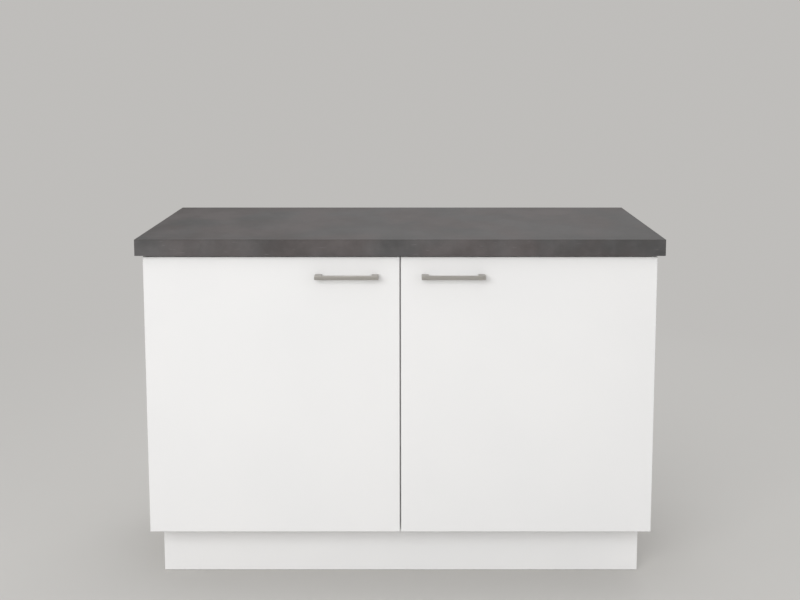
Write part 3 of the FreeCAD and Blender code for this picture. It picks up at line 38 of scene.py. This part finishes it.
class Finish:
    """A material built from shader nodes."""

    def __init__(self, name, roughness=0.5, metallic=0.0, specular=0.5):
        self.material = bpy.data.materials.new(name)
        self.material.use_nodes = True
        self.tree = self.material.node_tree
        self.shader = self.tree.nodes["Principled BSDF"]
        self.shader.inputs["Roughness"].default_value = roughness
        self.shader.inputs["Metallic"].default_value = metallic
        self.shader.inputs["Specular IOR Level"].default_value = specular
        self.place = self.new("ShaderNodeTexCoord").outputs["Object"]

    def new(self, kind, **settings):
        """Adds a node with the settings given."""
        node = self.tree.nodes.new(kind)
        for key, value in settings.items():
            setattr(node, key, value)
        return node

    def put(self, value, socket):
        """Sets a socket to a number or colour, or links another node's output to it."""
        if isinstance(value, bpy.types.NodeSocket):
            self.tree.links.new(value, socket)
        else:
            socket.default_value = value

    def stretched(self, scale, turn=(0, 0, 0)):
        """The object's own coordinates, turned and scaled along each axis."""
        mapping = self.new("ShaderNodeMapping")
        self.put(self.place, mapping.inputs["Vector"])
        self.put(scale, mapping.inputs["Scale"])
        self.put(turn, mapping.inputs["Rotation"])
        return mapping.outputs["Vector"]

    def noise(self, scale, detail, rough, where=None):
        """Smooth noise from 0 to 1, with scale features to the metre."""
        node = self.new("ShaderNodeTexNoise")
        self.put(where or self.place, node.inputs["Vector"])
        self.put(scale, node.inputs["Scale"])
        self.put(detail, node.inputs["Detail"])
        self.put(rough, node.inputs["Roughness"])
        return node.outputs["Fac"]

    def streaks(self, per_metre, detail, rough):
        """Noise with its own number of features to the metre along X, Y and Z."""
        return self.noise(1, detail, rough, self.stretched(per_metre))

    def cells(self, scale, where):
        """A random grey for each cell of a crumbled pattern, with scale cells to the metre."""
        node = self.new("ShaderNodeTexVoronoi")
        self.put(where, node.inputs["Vector"])
        self.put(scale, node.inputs["Scale"])
        return node.outputs["Color"]

    def ramp(self, value, low, high, out_low=0.0, out_high=1.0):
        """Maps low..high to out_low..out_high, and clamps."""
        node = self.new("ShaderNodeMapRange", clamp=True)
        self.put(value, node.inputs["Value"])
        self.put(low, node.inputs["From Min"])
        self.put(high, node.inputs["From Max"])
        self.put(out_low, node.inputs["To Min"])
        self.put(out_high, node.inputs["To Max"])
        return node.outputs["Result"]

    def math(self, operation, first, second):
        """One arithmetic step."""
        node = self.new("ShaderNodeMath", operation=operation)
        self.put(first, node.inputs[0])
        self.put(second, node.inputs[1])
        return node.outputs["Value"]

    def mix(self, share, first, second):
        """Blends two colours, or two heights."""
        node = self.new("ShaderNodeMix", data_type="RGBA")
        self.put(share, node.inputs["Factor"])
        self.put(first, node.inputs[MIX_FIRST])
        self.put(second, node.inputs[MIX_SECOND])
        return node.outputs[MIX_RESULT]

    def from_middle(self, box):
        """How far the point lies from the middle of a box along X, Y and Z."""
        low, high = (Vector(corner) for corner in box)
        offset = self.new("ShaderNodeVectorMath", operation="SUBTRACT")
        self.put(self.place, offset.inputs[0])
        self.put((low + high) / 2, offset.inputs[1])
        size = self.new("ShaderNodeVectorMath", operation="ABSOLUTE")
        self.put(offset.outputs["Vector"], size.inputs[0])
        parts = self.new("ShaderNodeSeparateXYZ")
        self.put(size.outputs["Vector"], parts.inputs["Vector"])
        return [parts.outputs[axis] for axis in "XYZ"]

    def under(self, box, axes, depth):
        """1 where the point lies more than depth inside the box's faces across the axes named."""
        low, high = (Vector(corner) for corner in box)
        distances = self.from_middle(box)
        inside = 1.0
        for index in ("XYZ".index(axis) for axis in axes):
            limit = (high[index] - low[index]) / 2 - depth
            inside = self.math("MULTIPLY", inside, self.math("LESS_THAN", distances[index], limit))
        return inside

    def colour(self, value):
        """Sets the surface's colour."""
        self.put(value, self.shader.inputs["Base Color"])

    def roughness(self, value):
        """Sets how rough the surface is."""
        self.put(value, self.shader.inputs["Roughness"])

    def bump(self, height, depth, strength):
        """Raises the surface by height times depth metres."""
        node = self.new("ShaderNodeBump")
        self.put(depth, node.inputs["Distance"])
        self.put(strength, node.inputs["Strength"])
        self.put(height, node.inputs["Height"])
        self.put(node.outputs["Normal"], self.shader.inputs["Normal"])


def grey(level, warm=0.0):
    """A near-neutral linear colour, warmer where warm is above 0."""
    return (level * (1 + warm), level, level * (1 - warm), 1)


def shaded(colour, factor):
    """A colour made darker, or lighter where factor is above 1."""
    return tuple(channel * factor for channel in colour[:3]) + (1,)


# ---------------------------------------------------------------- stone-look laminate

LAMINATE_DARK = (0.065, 0.060, 0.0605, 1)
LAMINATE_LIGHT = (0.136, 0.126, 0.127, 1)
LAMINATE_WARM = (0.108, 0.092, 0.088, 1)
LAMINATE_COOL = (0.090, 0.093, 0.092, 1)
LAMINATE_FLECK = (0.20, 0.19, 0.19, 1)
LAMINATE_GRAIN = grey(0.055)
LAMINATE_CORE = (0.045, 0.038, 0.034, 1)
CLOUD_STRETCH = (1, 0.6, 1)             # the clouds are longer from front to back
HUE_TURN = (0, 0, 0.4)                  # turns the hues' pattern away from the clouds'
HUE_SHARE = 0.42                        # how much of the warm and cool drift shows
FLECKS_PER_METRE = (38, 260, 260)       # long in X, thin in Y and Z
FLECK_SHARE = 0.4
GRAIN_SHARE = 0.15
CORE_DEPTH = 0.15 * MM                  # the sheet's cut edge shows its core below this


def stone_laminate(name, sheet_box=None):
    """Dark matt stone-look laminate: clouds, warm and cool drifts, short pale flecks. On the sheet
    whose box is given, the cut edge below the face shows the darker core."""
    f = Finish(name, specular=0.15)
    clouds = f.noise(8, 6, 0.62, f.stretched(CLOUD_STRETCH))
    tone = f.mix(f.ramp(clouds, 0.38, 0.62), LAMINATE_DARK, LAMINATE_LIGHT)
    hues = f.noise(6, 3, 0.5, f.stretched(CLOUD_STRETCH, HUE_TURN))
    drift = f.mix(f.ramp(hues, 0.42, 0.58), LAMINATE_WARM, LAMINATE_COOL)
    blend = f.mix(HUE_SHARE, tone, drift)
    flecks = f.streaks(FLECKS_PER_METRE, 2, 0.5)
    flecked = f.mix(f.ramp(flecks, 0.69, 0.77, 0.0, FLECK_SHARE), blend, LAMINATE_FLECK)
    grain = f.noise(900, 2, 0.6)
    face = f.mix(f.ramp(grain, 0.35, 0.65, 0.0, GRAIN_SHARE), flecked, LAMINATE_GRAIN)
    if sheet_box:
        face = f.mix(f.under(sheet_box, "Z", CORE_DEPTH), face, LAMINATE_CORE)
    f.colour(face)
    f.roughness(f.ramp(clouds, 0.3, 0.7, 0.56, 0.68))
    f.bump(f.noise(700, 3, 0.6), 0.2 * MM, 0.4)
    return f.material


# ---------------------------------------------------------------- boards and bands

CHIP_DARK = (0.28, 0.18, 0.10, 1)
CHIP_PALE = (0.62, 0.48, 0.31, 1)
CHIP_STRETCH = (1, 1, 1.6)              # the chips are shorter in Z
SKIN = 0.3 * MM                         # thickness of the melamine on a board's faces
HAIRLINE = 0.15 * MM                    # width of the glue line beside a white edge
GLUE_SHARE = 0.45                       # how much of the glue's colour shows
GLUE_LEVEL = 0.45                       # the glue's brightness beside the board's
WHITE_SPECULAR = 0.42
RAW_ROUGHNESS = 0.45                    # how much rougher the raw chips are than the skin
# How bright the white of each material slot is.
WHITE_LEVELS = {"white_board": 0.80, "door_white": 0.815, "plinth_white": 0.845}


def chips(f):
    """Colour and height of raw pressed chips."""
    flakes = f.cells(420, f.stretched(CHIP_STRETCH))
    dust = f.noise(900, 3, 0.55)
    height = f.math("ADD", f.math("MULTIPLY", flakes, 0.6), f.math("MULTIPLY", dust, 0.4))
    return f.mix(f.ramp(height, 0.15, 0.8), CHIP_DARK, CHIP_PALE), height


def white_skin(f, level):
    """Colour, roughness and height of white melamine with a faint orange peel."""
    drift = f.ramp(f.noise(3, 2, 0.5), 0.3, 0.7)
    colour = f.mix(drift, grey(level, 0.006), grey(level * 0.975, 0.003))
    rough = f.ramp(f.noise(30, 3, 0.6), 0.3, 0.7, 0.34, 0.44)
    return colour, rough, f.noise(450, 2, 0.5)


def white_finish(f, colour, rough, height):
    """The material of a white surface with the colour, roughness and height given."""
    f.colour(colour)
    f.roughness(rough)
    f.bump(height, 0.2 * MM, 0.25)
    return f.material


def white_band(name, level):
    """White edge band."""
    f = Finish(name, specular=WHITE_SPECULAR)
    return white_finish(f, *white_skin(f, level))


def white_board(name, level, box, thin, banded):
    """White melamine board. thin is the axis across it, and banded names the axes at whose ends
    its edges are white. Its other edges and its bores show the raw chips. A glue line runs along
    its faces beside the white edges."""
    f = Finish(name, specular=WHITE_SPECULAR)
    skin, rough, peel = white_skin(f, level)
    if banded:
        on_face = f.math("SUBTRACT", 1.0, f.under(box, thin, SKIN))
        at_edge = f.math("SUBTRACT", 1.0, f.under(box, banded, HAIRLINE))
        glue = f.math("MULTIPLY", f.math("MULTIPLY", on_face, at_edge), GLUE_SHARE)
        skin = f.mix(glue, skin, grey(level * GLUE_LEVEL, 0.05))
    raw = f.under(box, thin + banded, SKIN)
    wood, wood_height = chips(f)
    return white_finish(f, f.mix(raw, skin, wood),
                        f.math("ADD", rough, f.math("MULTIPLY", raw, RAW_ROUGHNESS)),
                        f.mix(raw, peel, f.math("MULTIPLY", wood_height, 2.5)))


def chipboard(name):
    """Raw pressed chips all over."""
    f = Finish(name, roughness=0.85, specular=0.2)
    wood, height = chips(f)
    f.colour(wood)
    f.bump(height, 0.5 * MM, 0.5)
    return f.material


# ---------------------------------------------------------------- metal, plastic and dowels

SATIN_NICKEL = (0.46, 0.44, 0.41, 1)
BRIGHT_NICKEL = (0.80, 0.79, 0.775, 1)
BRIGHT_ZINC = (0.74, 0.74, 0.75, 1)
CAST_ZINC = (0.47, 0.47, 0.48, 1)
BEECH_DARK = (0.50, 0.32, 0.17, 1)
BEECH_PALE = (0.68, 0.48, 0.30, 1)
BACKING_GREY = (0.15, 0.145, 0.14, 1)
LEG_BLACK = (0.022, 0.022, 0.024, 1)
BUMPER_GREY = (0.62, 0.62, 0.60, 1)
ALONG_THE_BAR = (12, 1400, 1400)        # brush strokes to the metre along X, Y and Z
ALONG_THE_DOWEL = (40, 700, 700)
FINE, FINER, GRAINY = (250,) * 3, (700,) * 3, (400,) * 3    # the same in all directions
PLATED = 0.01 * MM                      # height of the relief on smooth plating
BRUSHED = 0.04 * MM
CAST = 0.1 * MM


def metal(name, colour, rough, grain, depth, contrast=0.14, share=1.0):
    """Plated metal. grain gives its relief's features to the metre along X, Y and Z."""
    f = Finish(name, metallic=share)
    lines = f.streaks(grain, 3, 0.6)
    f.colour(f.mix(f.ramp(lines, 0.3, 0.7), shaded(colour, 1 - contrast), colour))
    f.roughness(f.ramp(lines, 0.3, 0.7, rough - 0.06, rough + 0.08))
    f.bump(lines, depth, 0.5)
    return f.material


def plastic(name, colour, rough):
    """Moulded plastic with a fine spark-eroded skin."""
    f = Finish(name)
    skin = f.noise(1500, 2, 0.6)
    f.colour(f.mix(f.ramp(skin, 0.35, 0.65), colour, shaded(colour, 1.25)))
    f.roughness(f.ramp(f.noise(60, 2, 0.5), 0.3, 0.7, rough - 0.05, rough + 0.08))
    f.bump(skin, 0.1 * MM, 0.5)
    return f.material


def beech(name):
    """Beech with fine grain along its length."""
    f = Finish(name, roughness=0.6, specular=0.3)
    grain = f.streaks(ALONG_THE_DOWEL, 4, 0.6)
    f.colour(f.mix(f.ramp(grain, 0.3, 0.7), BEECH_DARK, BEECH_PALE))
    f.bump(grain, 0.2 * MM, 0.4)
    return f.material


# ---------------------------------------------------------------- a finish for each node

# The axis across each board, and the axes at whose ends its edges are white.
BOARDS = {
    "side_panel_left": ("X", "Y"), "side_panel_right": ("X", "Y"),
    "base_panel": ("Z", "Y"), "front_top_rail": ("Z", ""), "rear_top_rail": ("Z", ""),
    "back_panel": ("Y", ""), "centre_partition": ("X", ""),
    "shelf_left": ("Z", ""), "shelf_right": ("Z", ""),
    "door_left": ("Y", "XZ"), "door_right": ("Y", "XZ"),
    "plinth_front": ("Y", "X"), "plinth_back": ("Y", "X"),
    "plinth_left": ("X", ""), "plinth_right": ("X", ""),
}

FINISHES = {
    "stone_laminate": stone_laminate("stone_laminate"),
    "chipboard": chipboard("chipboard"),
    "white_band": white_band("white_band", WHITE_LEVELS["door_white"]),
    "satin_nickel": metal("satin_nickel", SATIN_NICKEL, 0.36, ALONG_THE_BAR, BRUSHED, share=0.8),
    "hinge_steel": metal("hinge_steel", BRIGHT_NICKEL, 0.26, FINE, PLATED, contrast=0.05),
    "screw_steel": metal("screw_steel", BRIGHT_ZINC, 0.24, FINER, PLATED, contrast=0.08),
    "zinc": metal("zinc", CAST_ZINC, 0.42, GRAINY, CAST),
    "beech": beech("beech"),
    "backing_sheet": plastic("backing_sheet", BACKING_GREY, 0.7),
    "leg_plastic": plastic("leg_plastic", LEG_BLACK, 0.42),
    "bumper": plastic("bumper", BUMPER_GREY, 0.3),
}
SLOT_OF = {row["node"]: row["material_slot"] for row in frame["record"]["subparts"]}


def finish_of(node_name):
    """A node's finish: its own for boards and the worktop's sheet, else its slot's."""
    slot = SLOT_OF[node_name]
    if node_name in BOARDS:
        return white_board(node_name, WHITE_LEVELS[slot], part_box(node_name), *BOARDS[node_name])
    if node_name == "worktop_laminate":
        return stone_laminate("sheet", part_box(node_name))
    return FINISHES[slot]


for node_name, node in frame["nodes"].items():
    node.data.materials.clear()
    node.data.materials.append(finish_of(node_name))

# ---------------------------------------------------------------- camera and light

CAMERA_AT = (0.0269, -3.062, 1.26)
CAMERA_TILT = math.radians(7.32)        # downwards
LENS, SENSOR_WIDTH = 54.66, 36          # in millimetres, as a camera counts them
SHIFT_X, SHIFT_Y = -0.01465, -0.11


def add_to_scene(name, data):
    """A new object in the scene."""
    thing = bpy.data.objects.new(name, data)
    bpy.context.scene.collection.objects.link(thing)
    return thing


def aimed_camera():
    """The camera at the photograph's viewing angle."""
    camera = add_to_scene("camera", bpy.data.cameras.new("camera"))
    camera.location = CAMERA_AT
    camera.rotation_euler = (math.radians(90) - CAMERA_TILT, 0, 0)
    camera.data.lens = LENS
    camera.data.sensor_width = SENSOR_WIDTH
    camera.data.shift_x = SHIFT_X
    camera.data.shift_y = SHIFT_Y
    return camera


def area_light(name, at, aim, size, watts):
    """A rectangular soft light that points at aim."""
    data = bpy.data.lights.new(name, "AREA")
    data.shape = "RECTANGLE"
    data.size, data.size_y = size
    data.energy = watts
    lamp = add_to_scene(name, data)
    lamp.location = at
    lamp.rotation_euler = (Vector(aim) - Vector(at)).to_track_quat("-Z", "Y").to_euler()


bpy.context.scene.camera = aimed_camera()
area_light("key", at=(-1.3, -3.6, 2.05), aim=(0, 0, 0.5), size=(2.4, 1.6), watts=61)
area_light("fill", at=(2.4, -3.0, 1.1), aim=(0, 0, 0.4), size=(2.0, 1.6), watts=10)
area_light("rear", at=(0.6, 3.2, 3.0), aim=(0, 0, 0.5), size=(3.0, 1.6), watts=30)

# ---------------------------------------------------------------- floor and backdrop

BACKDROP = (0.52, 0.51, 0.495, 1)
FLOOR_COLOUR = (0.56, 0.55, 0.53, 1)    # under the lights, about as bright as the backdrop
ROOM_LIGHT = (0.78, 0.78, 0.785, 1)     # soft light from all round
FLOOR_HALF = 40
FADE_START, FADE_END = 1.0, 2.8         # from the object's middle, where floor turns to backdrop


def seen_directly(tree):
    """1 for rays from the camera or by way of metal and glass, 0 for light that is gathered."""
    path = tree.nodes.new("ShaderNodeLightPath")
    seen = path.outputs["Is Camera Ray"]
    for name in ("Is Glossy Ray", "Is Transmission Ray"):
        either = tree.nodes.new("ShaderNodeMath")
        either.operation = "MAXIMUM"
        tree.links.new(seen, either.inputs[0])
        tree.links.new(path.outputs[name], either.inputs[1])
        seen = either.outputs["Value"]
    return seen


def pale_floor():
    """Matt floor that keeps the object's shadow and fades into the backdrop further out."""
    f = Finish("floor", roughness=1, specular=0)
    f.colour(FLOOR_COLOUR)
    distance = f.new("ShaderNodeVectorMath", operation="LENGTH")
    f.put(f.place, distance.inputs[0])
    fade = f.ramp(distance.outputs["Value"], FADE_START, FADE_END)
    glow = f.new("ShaderNodeEmission")
    f.put(BACKDROP, glow.inputs["Color"])
    mix = f.new("ShaderNodeMixShader")
    f.put(f.math("MULTIPLY", fade, seen_directly(f.tree)), mix.inputs["Fac"])
    f.put(f.shader.outputs["BSDF"], mix.inputs[1])
    f.put(glow.outputs["Emission"], mix.inputs[2])
    f.put(mix.outputs["Shader"], f.tree.nodes["Material Output"].inputs["Surface"])
    return f.material


def floor_plane():
    """A large square at floor level."""
    mesh = bpy.data.meshes.new("floor")
    bm = bmesh.new()
    bmesh.ops.create_grid(bm, x_segments=1, y_segments=1, size=FLOOR_HALF)
    bm.to_mesh(mesh)
    bm.free()
    mesh.materials.append(pale_floor())
    return add_to_scene("floor", mesh)


def pale_world():
    """The backdrop where it is seen, and soft even light elsewhere."""
    world = bpy.data.worlds.new("studio")
    world.use_nodes = True
    tree = world.node_tree
    light = tree.nodes["Background"]
    light.inputs["Color"].default_value = ROOM_LIGHT
    shown = tree.nodes.new("ShaderNodeBackground")
    shown.inputs["Color"].default_value = BACKDROP
    mix = tree.nodes.new("ShaderNodeMixShader")
    tree.links.new(seen_directly(tree), mix.inputs["Fac"])
    tree.links.new(light.outputs["Background"], mix.inputs[1])
    tree.links.new(shown.outputs["Background"], mix.inputs[2])
    tree.links.new(mix.outputs["Shader"], tree.nodes["World Output"].inputs["Surface"])
    return world


floor_plane()
bpy.context.scene.world = pale_world()
bpy.context.scene.view_settings.view_transform = "Standard"

# ---------------------------------------------------------------- hand-over

bpy.context.view_layer.update()
